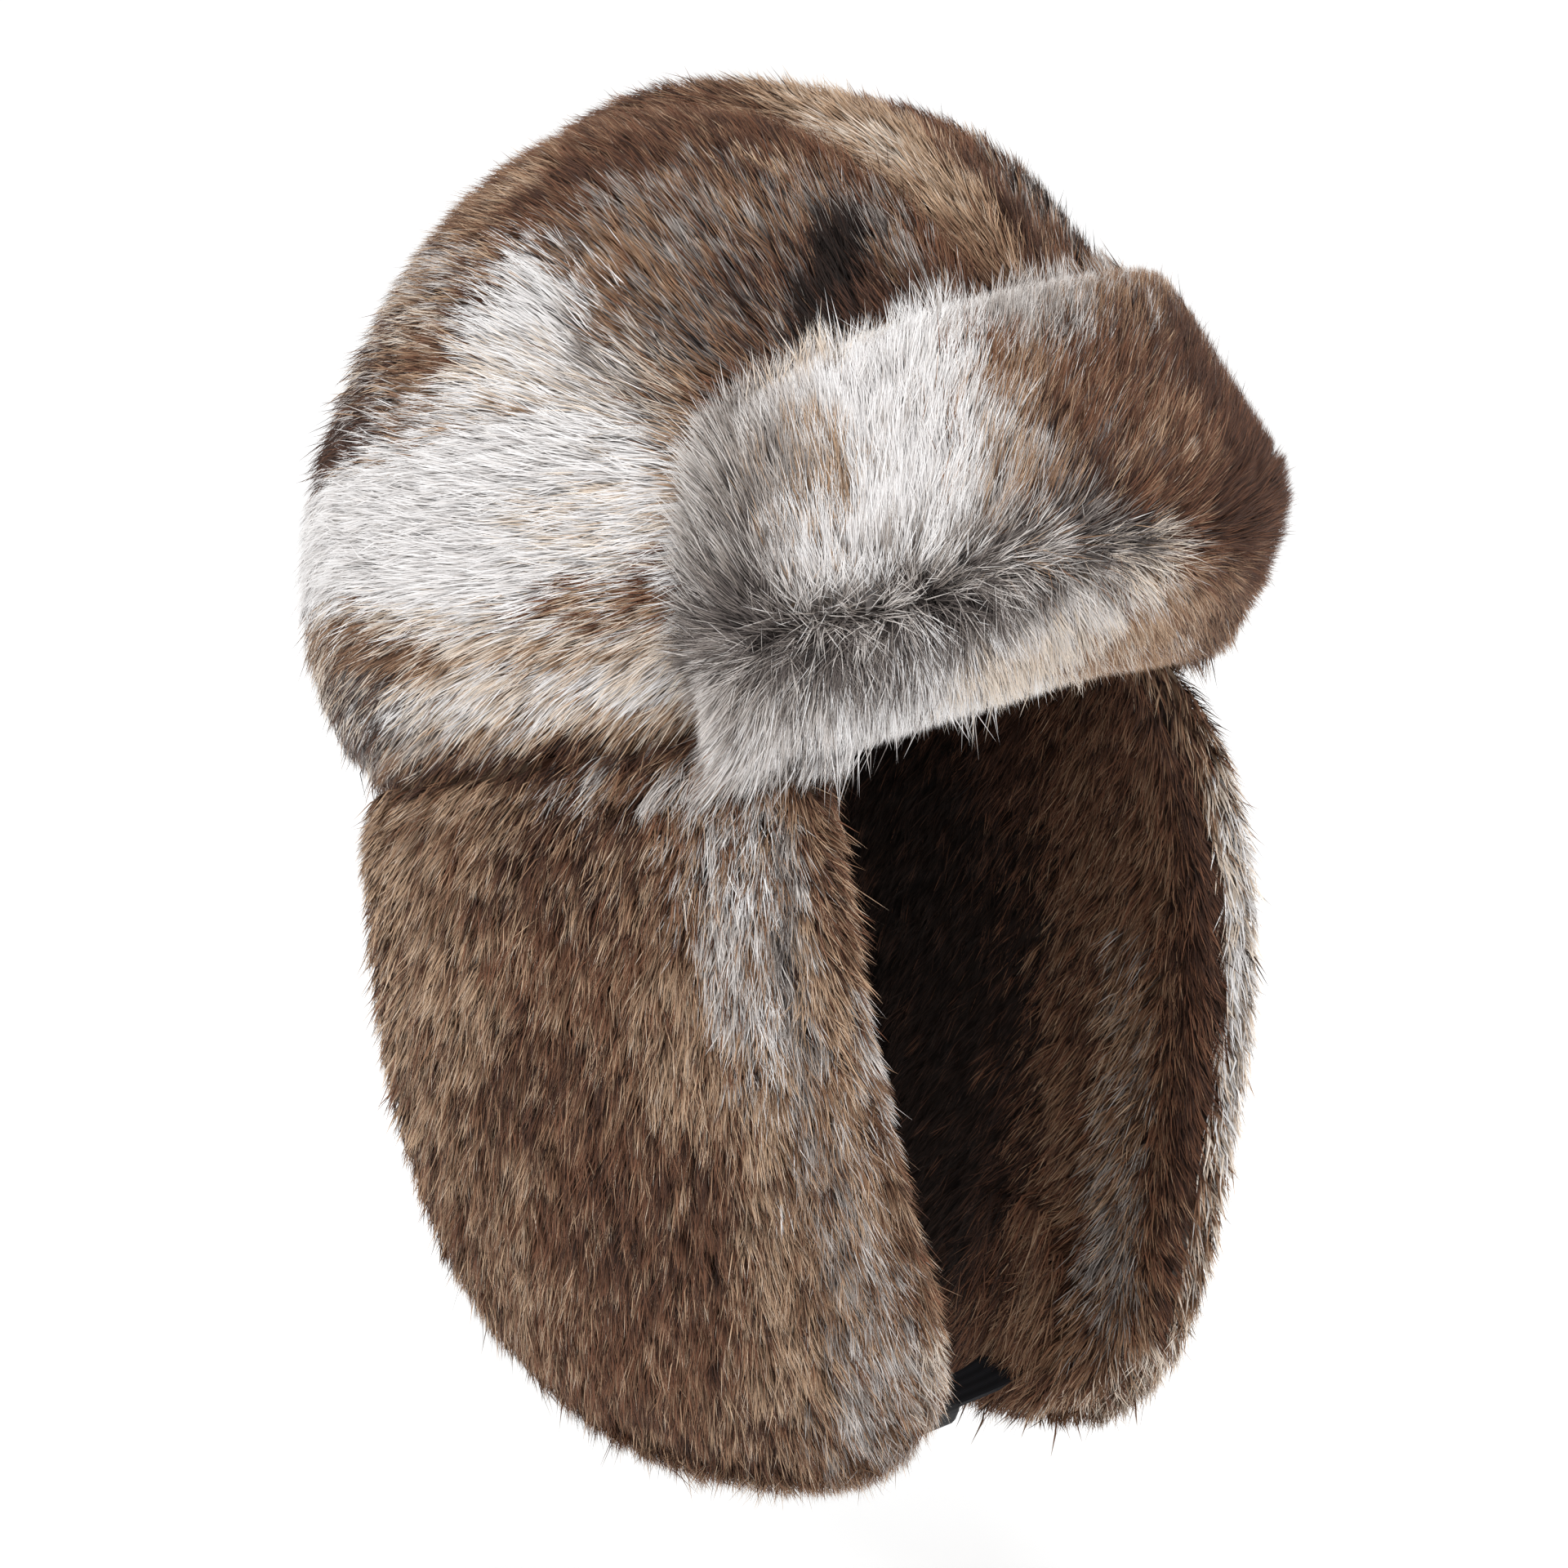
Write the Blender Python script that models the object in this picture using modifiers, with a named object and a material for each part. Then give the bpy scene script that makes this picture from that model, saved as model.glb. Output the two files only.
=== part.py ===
"""Earflap fur hat (trapper hat) in faux fur, built as separate pieces at real size.

Metres, +Z up, the face of the wearer towards -Y, the wearer's right side at -X.
The origin is the inside top of the crown, where the top of the head touches the hat.
Each fur piece is the outer form of its deep pile over the cloth, hollow where the head goes.
"""

import math
from collections import namedtuple

import bmesh
import bpy
from mathutils import Vector

for old in list(bpy.data.objects):
    bpy.data.objects.remove(old, do_unlink=True)

# ---------------------------------------------------------------- sizes, in metres
CROWN_HEIGHT = 0.167        # rim to the top of the pile
CAVITY_HEIGHT = 0.149       # rim to the inside top
RIM_LEVEL = 0.010           # rim height at the middle of the head, working level
RIM_TILT = 0.280            # the rim rises this much per metre towards the face
SEAT_LEVEL = RIM_LEVEL + CAVITY_HEIGHT  # working level of the origin
STRIP_HALF_WIDTH = 0.018    # half of the front-to-back centre panel
SEAM_GAP = 0.0003
SEAM_DIP = 0.0040           # how deep the pile sinks at a crown seam
VISOR_END_DEG = 51.0        # the turned-up front flap ends this far round from the face
VISOR_RISE_DEG = 46.0       # and its upper edge lies this high, seen from the middle of the rim
VISOR_HANG = 0.008          # its pile hangs this far below the fold, and a little more at the ends
VISOR_GAP = 0.0038          # between the crown's form and the flap's back
DENT_TURN_DEG = 33.0        # where the front flap is tacked to the crown the pile is pinched
DENT_RISE_DEG = 53.0
DENT_DEPTH = 0.0065
DENT_REACH = 0.14
FLAP_PILE = 0.0125          # outer fur over the cloth of the flaps
LINING_PILE = 0.0095        # inner fur of the flaps
FLAP_EDGE_LAP = 0.008       # the outer fur reaches this far past the lining at the front edges
HEM_LAP = 0.006             # and this far below it
LEFT_FLAP_DROP = 0.011      # the wearer's left flap hangs a little lower
STRAP_WIDTH = 0.016
STRAP_THICK = 0.0016
STRAP_Y = -0.062
CLASP_LENGTH, CLASP_WIDTH, CLASP_THICK = 0.026, 0.022, 0.0075


def smooth(rows, x, column):
    """Reads one named column of a table at x, with a smooth curve through the rows."""
    key = rows[0]._fields[0]
    xs = [getattr(r, key) for r in rows]
    ys = [getattr(r, column) for r in rows]
    if x <= xs[0]:
        return ys[0]
    if x >= xs[-1]:
        return ys[-1]
    i = max(k for k in range(len(xs) - 1) if xs[k] <= x)
    slopes = [(ys[k + 1] - ys[k]) / (xs[k + 1] - xs[k]) for k in range(len(xs) - 1)]

    def tangent(k):
        if k == 0:
            return slopes[0]
        if k == len(xs) - 1:
            return slopes[-1]
        if slopes[k - 1] * slopes[k] <= 0:
            return 0.0
        return 2 * slopes[k - 1] * slopes[k] / (slopes[k - 1] + slopes[k])

    h = xs[i + 1] - xs[i]
    t = (x - xs[i]) / h
    return (
        ys[i] * (1 + 2 * t) * (1 - t) ** 2
        + tangent(i) * h * t * (1 - t) ** 2
        + ys[i + 1] * t * t * (3 - 2 * t)
        + tangent(i + 1) * h * t * t * (t - 1)
    )


def ease(x):
    x = min(1.0, max(0.0, x))
    return x * x * (3 - 2 * x)


# Plan half sizes of the crown by share of its height: outside of the pile, and of the cavity.
Section = namedtuple("Section", "share half_width half_length middle_y")
CROWN_OUT = [
    Section(0.00, 0.0925, 0.1045, -0.003),
    Section(0.06, 0.0980, 0.1120, -0.002),
    Section(0.16, 0.1025, 0.1185, -0.001),
    Section(0.30, 0.1045, 0.1220, -0.001),
    Section(0.42, 0.1035, 0.1200, -0.003),
    Section(0.54, 0.0975, 0.1130, -0.005),
    Section(0.66, 0.0880, 0.1030, -0.007),
    Section(0.77, 0.0760, 0.0895, -0.009),
    Section(0.86, 0.0625, 0.0735, -0.011),
    Section(0.93, 0.0465, 0.0550, -0.012),
    Section(0.98, 0.0265, 0.0315, -0.013),
    Section(1.00, 0.0001, 0.0001, -0.013),
]
CROWN_IN = [
    Section(0.00, 0.0825, 0.0965, -0.002),
    Section(0.12, 0.0850, 0.1000, -0.001),
    Section(0.35, 0.0858, 0.1015, -0.001),
    Section(0.52, 0.0815, 0.0965, -0.003),
    Section(0.66, 0.0740, 0.0875, -0.006),
    Section(0.78, 0.0640, 0.0755, -0.008),
    Section(0.87, 0.0520, 0.0615, -0.010),
    Section(0.94, 0.0370, 0.0440, -0.011),
    Section(0.985, 0.0195, 0.0232, -0.012),
    Section(1.00, 0.0001, 0.0001, -0.012),
]

# Plan curve of the flaps' cloth by working level: half width at the ear, length back to the
# nape, and where the front edge lies.
Level = namedtuple("Level", "level half_width back_length edge_x edge_y")
FLAP_CLOTH = [
    Level(-0.200, 0.0495, 0.0775, 0.0340, 0.1130),
    Level(-0.180, 0.0560, 0.0775, 0.0380, 0.1145),
    Level(-0.160, 0.0625, 0.0775, 0.0435, 0.1150),
    Level(-0.140, 0.0700, 0.0780, 0.0490, 0.1155),
    Level(-0.110, 0.0790, 0.0785, 0.0585, 0.1155),
    Level(-0.080, 0.0850, 0.0795, 0.0680, 0.1140),
    Level(-0.050, 0.0870, 0.0815, 0.0745, 0.1110),
    Level(-0.025, 0.0865, 0.0855, 0.0765, 0.1060),
    Level(0.000, 0.0840, 0.0905, 0.0740, 0.0985),
    Level(0.025, 0.0800, 0.0930, 0.0640, 0.0890),
    Level(0.040, 0.0785, 0.0935, 0.0560, 0.0820),
]
# Lower edge of the curtain: 0 is the front edge of a flap and 1 the middle of the nape.
Hem = namedtuple("Hem", "way level")
FLAP_HEM = [
    Hem(0.00, -0.1460),
    Hem(0.05, -0.1580),
    Hem(0.13, -0.1690),
    Hem(0.23, -0.1745),
    Hem(0.34, -0.1750),
    Hem(0.42, -0.1685),
    Hem(0.50, -0.1560),
    Hem(0.57, -0.1390),
    Hem(0.64, -0.1150),
    Hem(0.72, -0.0930),
    Hem(0.82, -0.0835),
    Hem(1.00, -0.0810),
]
SIDE_SHARE = 0.45  # the stretch of the way round that lies ahead of the ear

# Thickness of the turned-up front flap from its fold, 0, to its upper edge, 1.
Pad = namedtuple("Pad", "up thick")
VISOR_PAD = [
    Pad(0.00, 0.0120),
    Pad(0.06, 0.0215),
    Pad(0.18, 0.0305),
    Pad(0.32, 0.0290),
    Pad(0.50, 0.0200),
    Pad(0.70, 0.0110),
    Pad(0.88, 0.0068),
    Pad(1.00, 0.0045),
]

PILE = {
    "crown_side_right": (0.55, 0.45, 0.38, 1),
    "crown_centre": (0.30, 0.19, 0.13, 1),
    "crown_side_left": (0.42, 0.32, 0.25, 1),
    "front_flap": (0.58, 0.50, 0.44, 1),
    "flap_curtain": (0.36, 0.26, 0.19, 1),
    "flap_lining": (0.16, 0.11, 0.08, 1),
}


def rim_level(y):
    return RIM_LEVEL - RIM_TILT * y


def seat(p, height):
    """Lifts a point of the level crown onto the sloping rim. The slope fades towards the top."""
    return Vector((p.x, p.y, RIM_LEVEL + p.z - RIM_TILT * p.y * max(0.0, 1 - p.z / height)))


def on_crown(sections, height, way, swell=0.0):
    """The crown's surface in one direction from the middle of the rim, before it is seated."""
    low, high = 0.0, 1.0
    for _ in range(36):
        share = (low + high) / 2
        reach = 1 / math.sqrt(
            (way.x / smooth(sections, share, "half_width")) ** 2
            + (way.y / smooth(sections, share, "half_length")) ** 2
            + 1e-12
        )
        if share * height < reach * way.z:
            low = share
        else:
            high = share
    share = (low + high) / 2
    reach = 1 / math.sqrt(
        (way.x / smooth(sections, share, "half_width")) ** 2
        + (way.y / smooth(sections, share, "half_length")) ** 2
        + 1e-12
    )
    reach = min(reach, 0.3) if way.z < 0.999 else height
    if share > 0.97:
        reach = min(reach, share * height / max(way.z, 1e-6))
    p = way * (reach + swell)
    p.y += smooth(sections, share, "middle_y")
    return p


def lateral(angle):
    """The direction of a crown seam over the head at this angle: 0 the face, 90 the top, 180 the nape."""
    centre = on_crown(CROWN_OUT, CROWN_HEIGHT, Vector((0, -math.cos(angle), math.sin(angle))))
    centre.y -= 0
    return math.atan(STRIP_HALF_WIDTH / centre.length)


def over(angle, side):
    """A direction over the head, turned sideways by the angle side."""
    return Vector(
        (
            math.sin(side),
            -math.cos(side) * math.cos(angle),
            math.cos(side) * math.sin(angle),
        )
    )


def dip(distance):
    return -SEAM_DIP * math.exp(-((distance / 0.0065) ** 2))


def sheet_solid(name, across, along, outer, inner):
    """A closed wall from a grid laid on two surfaces, outer and inner, joined all round its edge."""
    bm = bmesh.new()
    bmesh.ops.create_grid(bm, x_segments=across, y_segments=along, size=1.0)
    top = list(bm.verts)
    at = [((v.co.x + 1) / 2, (v.co.y + 1) / 2) for v in top]
    twin = bmesh.ops.duplicate(bm, geom=list(bm.verts) + list(bm.edges) + list(bm.faces))
    pairs = twin["vert_map"]
    under_faces = [g for g in twin["geom"] if isinstance(g, bmesh.types.BMFace)]
    bmesh.ops.reverse_faces(bm, faces=under_faces)
    rims = [e for e in bm.edges if e.is_boundary]
    bmesh.ops.bridge_loops(bm, edges=rims)
    for v, (s, w) in zip(top, at):
        v.co = outer(s, w)
        pairs[v].co = inner(s, w)
    bmesh.ops.remove_doubles(bm, verts=bm.verts, dist=2e-5)
    bmesh.ops.dissolve_degenerate(bm, edges=bm.edges, dist=1e-5)
    bmesh.ops.recalc_face_normals(bm, faces=bm.faces)
    bmesh.ops.translate(bm, verts=bm.verts, vec=(0, 0, -SEAT_LEVEL))
    mesh = bpy.data.meshes.new(name)
    bm.to_mesh(mesh)
    bm.free()
    volume = sum(
        mesh.vertices[p.vertices[0]].co.dot(
            (mesh.vertices[p.vertices[k]].co).cross(mesh.vertices[p.vertices[k + 1]].co)
        )
        for p in mesh.polygons
        for k in range(1, len(p.vertices) - 1)
    )
    if volume < 0:
        mesh.flip_normals()
    return add(name, mesh)


def colour(name, rgba, rough, metal=0.0):
    material = bpy.data.materials.new(name)
    material.use_nodes = True
    shader = material.node_tree.nodes["Principled BSDF"]
    shader.inputs["Base Color"].default_value = rgba
    shader.inputs["Roughness"].default_value = rough
    shader.inputs["Metallic"].default_value = metal
    return material


hat = bpy.data.collections.new("earflap_fur_hat")
bpy.context.scene.collection.children.link(hat)


def add(name, mesh):
    ob = bpy.data.objects.new(name, mesh)
    hat.objects.link(ob)
    if name in PILE:
        mesh.materials.append(colour(name + "_fur", PILE[name], 0.85))
    mesh.shade_smooth()
    mesh.set_sharp_from_angle(angle=math.radians(55))
    return ob


# ---------------------------------------------------------------- crown: two side panels and a centre panel
def spaced(s):
    """Evenly spaced stations, a little closer at both ends."""
    return s - 0.035 * math.sin(4 * math.pi * s) / math.pi


def strip_direction(s, w, trim=SEAM_GAP):
    angle = math.pi * s
    half = lateral(angle) * (1 - trim / STRIP_HALF_WIDTH)
    side = (2 * w - 1) * half
    return over(angle, side), (1 - abs(2 * w - 1)) * STRIP_HALF_WIDTH


def strip_outer(s, w):
    way, away = strip_direction(s, spaced(w))
    swell = dip(away) + 0.0015 * math.sin(math.pi * w)
    return seat(on_crown(CROWN_OUT, CROWN_HEIGHT, way, swell), CROWN_HEIGHT)


def strip_inner(s, w):
    way, _ = strip_direction(s, spaced(w))
    return seat(on_crown(CROWN_IN, CAVITY_HEIGHT, way), CROWN_HEIGHT)


def side_direction(s, w, hand):
    """From the rim, w 0, up to the seam beside the centre panel, w 1; s runs from the face to the nape."""
    angle = math.pi * s
    first, last = lateral(0.0), math.pi - lateral(math.pi)
    turn = first + (last - first) * s
    rim = Vector((math.sin(turn), -math.cos(turn), 0.0))
    seam = over(angle, lateral(angle))
    span = rim.angle(seam, 0.0)
    if span < 1e-6:
        way = rim
    else:
        way = (rim * math.sin((1 - w) * span) + seam * math.sin(w * span)) / math.sin(span)
    return Vector((hand * way.x, way.y, way.z)).normalized(), (1 - w) * span * 0.11


def dent_direction(hand):
    turn, rise = math.radians(DENT_TURN_DEG), math.radians(DENT_RISE_DEG)
    return Vector(
        (hand * math.sin(turn) * math.cos(rise), -math.cos(turn) * math.cos(rise), math.sin(rise))
    )


def near_seam(w):
    """Rows close up towards the seam, where the pile rolls in."""
    return 1 - (1 - w) ** 1.45


def side_outer(hand):
    def place(s, w):
        way, away = side_direction(s, near_seam(w), hand)
        swell = dip(away) * ease(s / 0.05) * ease((1 - s) / 0.05)
        swell += 0.0025 * math.sin(math.pi * near_seam(w)) * math.sin(math.pi * s)
        swell -= DENT_DEPTH * math.exp(-((way.angle(dent_direction(hand)) / DENT_REACH) ** 2))
        return seat(on_crown(CROWN_OUT, CROWN_HEIGHT, way, swell), CROWN_HEIGHT)

    return place


def side_inner(hand):
    def place(s, w):
        way, _ = side_direction(s, near_seam(w), hand)
        return seat(on_crown(CROWN_IN, CAVITY_HEIGHT, way), CROWN_HEIGHT)

    return place


sheet_solid("crown_centre", 30, 8, strip_outer, strip_inner)
sheet_solid("crown_side_right", 26, 9, side_outer(-1), side_inner(-1))
sheet_solid("crown_side_left", 26, 9, side_outer(1), side_inner(1))


# ---------------------------------------------------------------- turned-up front flap
def visor_base(s, w, lift):
    """A point in front of the crown. s runs from the wearer's right to left, w from the fold up."""
    off = abs(2 * s - 1)
    turn = math.radians(VISOR_END_DEG) * (2 * s - 1) * (1 + 0.04 * math.sin(math.pi * w))
    rise = math.radians(VISOR_RISE_DEG) * (1 - 0.20 * off**3) * w
    way = Vector(
        (math.sin(turn) * math.cos(rise), -math.cos(turn) * math.cos(rise), math.sin(rise))
    )
    fold = 1 - ease(w / 0.16)
    flare = 0.0035 + 0.011 * ease((off - 0.35) / 0.35)
    p = on_crown(CROWN_OUT, CROWN_HEIGHT, way, VISOR_GAP + flare * fold + lift)
    p.z -= (VISOR_HANG + 0.007 * off) * fold
    return seat(p, CROWN_HEIGHT)


def visor_outer(s, w):
    end = ease((1 - abs(2 * s - 1)) / 0.14)
    lump = 1 + 0.05 * math.sin(9.0 * s + 1.0) * math.sin(math.pi * w)
    return visor_base(s, w, smooth(VISOR_PAD, w, "thick") * (0.42 + 0.58 * end) * lump)


sheet_solid("front_flap", 24, 10, visor_outer, lambda s, w: visor_base(s, w, 0.0))


# ---------------------------------------------------------------- ear flaps and nape, one curtain in two layers
def curtain_point(way, level, hand):
    """A point of the cloth's plan curve at a level. way 0 is the flap's front edge, 1 the nape's middle."""
    a = smooth(FLAP_CLOTH, level, "half_width")
    if way < SIDE_SHARE:
        t = 1 - way / SIDE_SHARE
        edge_x = smooth(FLAP_CLOTH, level, "edge_x")
        edge_y = smooth(FLAP_CLOTH, level, "edge_y")
        x = a * (1 - t * t) + edge_x * t * t
        y = -edge_y * (1.2 * t * (1 - t) + t * t)
    else:
        back = smooth(FLAP_CLOTH, level, "back_length")
        turn = math.pi / 2 * (way - SIDE_SHARE) / (1 - SIDE_SHARE)
        x, y = a * math.cos(turn), back * math.sin(turn)
    return Vector((hand * x, y, level))


def curtain_top(way, hand):
    """The level at which the curtain meets the sloping rim of the crown."""
    top = RIM_LEVEL
    for _ in range(6):
        top = rim_level(curtain_point(way, top, hand).y)
    return top - 0.0016


def curtain(s, w):
    """s runs from the right flap's front edge round the nape to the left one's, w from the rim down."""
    hand = -1 if s < 0.5 else 1
    way = 1 - abs(2 * s - 1)
    top = curtain_top(way, hand)
    hem = smooth(FLAP_HEM, way, "level")
    if hand > 0:
        hem -= LEFT_FLAP_DROP * ease((0.75 - way) / 0.45)
    return curtain_point(way, top + (hem - top) * w, hand), way, top - hem


def layer(side, thick, edge_lap, hem_lap):
    """side 1 is the fur outside the cloth, -1 the fur lining inside it."""

    def place(s, w, out):
        p, way, tall = curtain(s, w)
        step = 0.004
        round_it = curtain(min(s + step, 1), w)[0] - curtain(max(s - step, 0), w)[0]
        down = curtain(s, min(w + step, 1))[0] - curtain(s, max(w - step, 0))[0]
        normal = round_it.cross(down).normalized()
        if normal.dot(Vector((p.x, p.y, 0))) < 0:
            normal = -normal
        if not out:
            return p + normal * side * SEAM_GAP
        edge = min(way * 0.30, (1 - w) * tall)
        body = 0.60 + 0.40 * ease(edge / 0.014)
        body *= 0.35 + 0.65 * ease(w * tall / 0.018)
        forward = round_it.normalized() * (-1 if s < 0.5 else 1)
        at_edge = 1 - ease(way / 0.07)
        at_hem = 1 - ease((1 - w) * tall / 0.020)
        p += forward * edge_lap * at_edge * ease(w * tall / 0.030) * (1 - 0.75 * at_hem)
        p += down.normalized() * hem_lap * at_hem * (1 - 0.75 * at_edge)
        return p + normal * side * thick * body

    return (lambda s, w: place(s, w, True)), (lambda s, w: place(s, w, False))


sheet_solid("flap_curtain", 52, 11, *layer(1, FLAP_PILE, FLAP_EDGE_LAP, HEM_LAP))
sheet_solid("flap_lining", 52, 11, *layer(-1, LINING_PILE, 0.0, 0.002))


# ---------------------------------------------------------------- chin strap and its clasp
Stop = namedtuple("Stop", "x level")
STRAP_HALF = [
    Stop(-0.0448, -0.1580),
    Stop(-0.0434, -0.1618),
    Stop(-0.0414, -0.1655),
    Stop(-0.0376, -0.1705),
    Stop(-0.0325, -0.1730),
    Stop(-0.0265, -0.1738),
]
STRAP_LOW = -0.1738
STRAP_LEAN = math.radians(24)


def strap_route():
    """The strap's middle line: down the inside of one flap, level under the chin and up the other."""
    flat = [Stop(x, STRAP_LOW) for x in (-0.0150, 0.0, 0.0150)]
    return STRAP_HALF + flat + [Stop(-r.x, r.level) for r in reversed(STRAP_HALF)]


def strap_solid(name):
    """A flat band swept along the route, its width lying front to back and leaning a little."""
    bm = bmesh.new()
    stops = strap_route()
    bmesh.ops.create_cube(bm, size=1.0)
    bmesh.ops.subdivide_edges(
        bm,
        edges=[e for e in bm.edges if abs((e.verts[0].co - e.verts[1].co).x) > 0.5],
        cuts=len(stops) - 2,
        use_grid_fill=True,
    )
    for v in bm.verts:
        i = round((v.co.x + 0.5) * (len(stops) - 1))
        before, after = stops[max(i - 1, 0)], stops[min(i + 1, len(stops) - 1)]
        run = Vector((after.x - before.x, 0, after.level - before.level)).normalized()
        wide = Vector((0, math.cos(STRAP_LEAN), math.sin(STRAP_LEAN)))
        wide = (wide - run * wide.dot(run)).normalized()
        thick = run.cross(wide).normalized()
        p = Vector((stops[i].x, STRAP_Y, stops[i].level))
        v.co = p + wide * (v.co.y * STRAP_WIDTH) + thick * (v.co.z * STRAP_THICK)
    bmesh.ops.translate(bm, verts=bm.verts, vec=(0, 0, -SEAT_LEVEL))
    bmesh.ops.recalc_face_normals(bm, faces=bm.faces)
    mesh = bpy.data.meshes.new(name)
    bm.to_mesh(mesh)
    bm.free()
    return add(name, mesh)


strap = strap_solid("chin_strap")
strap.data.materials.append(colour("strap_webbing", (0.012, 0.012, 0.014, 1), 0.6))

# The clasp is one plain moulded block that the strap runs through.
bm = bmesh.new()
bmesh.ops.create_cube(bm, size=1.0)
bmesh.ops.scale(bm, verts=bm.verts, vec=(CLASP_LENGTH, CLASP_WIDTH, CLASP_THICK))
mesh = bpy.data.meshes.new("chin_clasp")
bm.to_mesh(mesh)
bm.free()
clasp = add("chin_clasp", mesh)
clasp.data.materials.append(colour("clasp_plastic", (0.010, 0.010, 0.011, 1), 0.35))
clasp.location = (0, STRAP_Y, STRAP_LOW - SEAT_LEVEL)
clasp.rotation_euler = (STRAP_LEAN, 0, 0)
round_off = clasp.modifiers.new("rounded", "BEVEL")
round_off.width = 0.0022
round_off.segments = 3

# The slot in the clasp that the strap passes, cut with a copy of the strap's own form made larger.
slot_mesh = bpy.data.meshes.new("clasp_slot")
bm = bmesh.new()
bmesh.ops.create_cube(bm, size=1.0)
bmesh.ops.scale(
    bm, verts=bm.verts, vec=(CLASP_LENGTH * 1.5, STRAP_WIDTH + 0.0012, STRAP_THICK + 0.0030)
)
bm.to_mesh(slot_mesh)
bm.free()
cutters = bpy.data.collections.new("cutters")
bpy.context.scene.collection.children.link(cutters)
slot = bpy.data.objects.new("clasp_slot", slot_mesh)
cutters.objects.link(slot)
slot.location = clasp.location
slot.rotation_euler = clasp.rotation_euler
slot.hide_render = True
slot.display_type = "WIRE"
cut = clasp.modifiers.new("slot", "BOOLEAN")
cut.operation = "DIFFERENCE"
cut.object = slot
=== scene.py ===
"""The looks of the earflap fur hat: deep combed pile on every furred piece, strap, clasp, light and camera."""

import math
from collections import namedtuple

import bpy
import numpy as np
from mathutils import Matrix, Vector, kdtree
from mathutils.bvhtree import BVHTree


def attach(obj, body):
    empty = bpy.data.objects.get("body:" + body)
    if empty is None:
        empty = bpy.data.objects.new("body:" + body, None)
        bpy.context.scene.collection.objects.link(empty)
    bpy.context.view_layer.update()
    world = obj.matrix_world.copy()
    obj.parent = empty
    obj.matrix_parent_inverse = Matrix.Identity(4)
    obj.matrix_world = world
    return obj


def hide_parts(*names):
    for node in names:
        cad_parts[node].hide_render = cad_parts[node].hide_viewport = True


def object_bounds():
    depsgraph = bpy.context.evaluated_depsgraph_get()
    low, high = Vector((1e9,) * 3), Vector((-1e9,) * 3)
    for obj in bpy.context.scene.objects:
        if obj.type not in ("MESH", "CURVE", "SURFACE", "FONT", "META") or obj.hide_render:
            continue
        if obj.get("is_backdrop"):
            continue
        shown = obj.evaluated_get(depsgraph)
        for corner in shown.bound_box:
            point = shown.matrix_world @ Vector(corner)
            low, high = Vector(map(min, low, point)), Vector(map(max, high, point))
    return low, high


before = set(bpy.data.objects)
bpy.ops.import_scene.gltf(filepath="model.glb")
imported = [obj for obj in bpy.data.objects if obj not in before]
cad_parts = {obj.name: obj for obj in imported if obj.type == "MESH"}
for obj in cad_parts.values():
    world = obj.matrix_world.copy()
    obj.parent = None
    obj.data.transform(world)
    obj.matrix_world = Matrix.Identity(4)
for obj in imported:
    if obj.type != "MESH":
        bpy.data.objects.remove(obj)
size_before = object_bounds()
rng = np.random.default_rng(7)

# ---------------------------------------------------------------- camera, also used to place the coat's markings
AZ_DEG, EL_DEG, DISTANCE, LENS = -49.0, 13.5, 1.5, 128.0
AIM = np.array((0.0065, -0.0144, -0.170))
PICTURE = 1920.0
az, el = math.radians(AZ_DEG), math.radians(EL_DEG)
BACK = np.array((math.sin(az) * math.cos(el), -math.cos(az) * math.cos(el), math.sin(el)))
RIGHT = np.array((math.cos(az), math.sin(az), 0.0))
UP = np.array((-math.sin(az) * math.sin(el), math.cos(az) * math.sin(el), math.cos(el)))


def seen_at(p):
    """Where points are seen in the picture, in its pixels, right and down."""
    d = p - AIM
    scale = LENS / 36.0 * PICTURE / (DISTANCE - d @ BACK)
    return PICTURE / 2 + (d @ RIGHT) * scale, PICTURE / 2 - (d @ UP) * scale


# ---------------------------------------------------------------- the coat's tones, one line of them
TONES = {  # place on the line, and colour
    "black": (0.02, (0.022, 0.013, 0.010)),
    "dark": (0.12, (0.080, 0.038, 0.025)),
    "red": (0.25, (0.205, 0.090, 0.050)),
    "brown": (0.38, (0.310, 0.182, 0.108)),
    "tan": (0.50, (0.600, 0.415, 0.275)),
    "cream": (0.62, (0.860, 0.760, 0.655)),
    "white": (0.74, (0.935, 0.925, 0.928)),
    "pale": (0.84, (0.735, 0.690, 0.660)),
    "grey": (0.92, (0.390, 0.340, 0.305)),
    "slate": (0.985, (0.120, 0.100, 0.094)),
}

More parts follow.
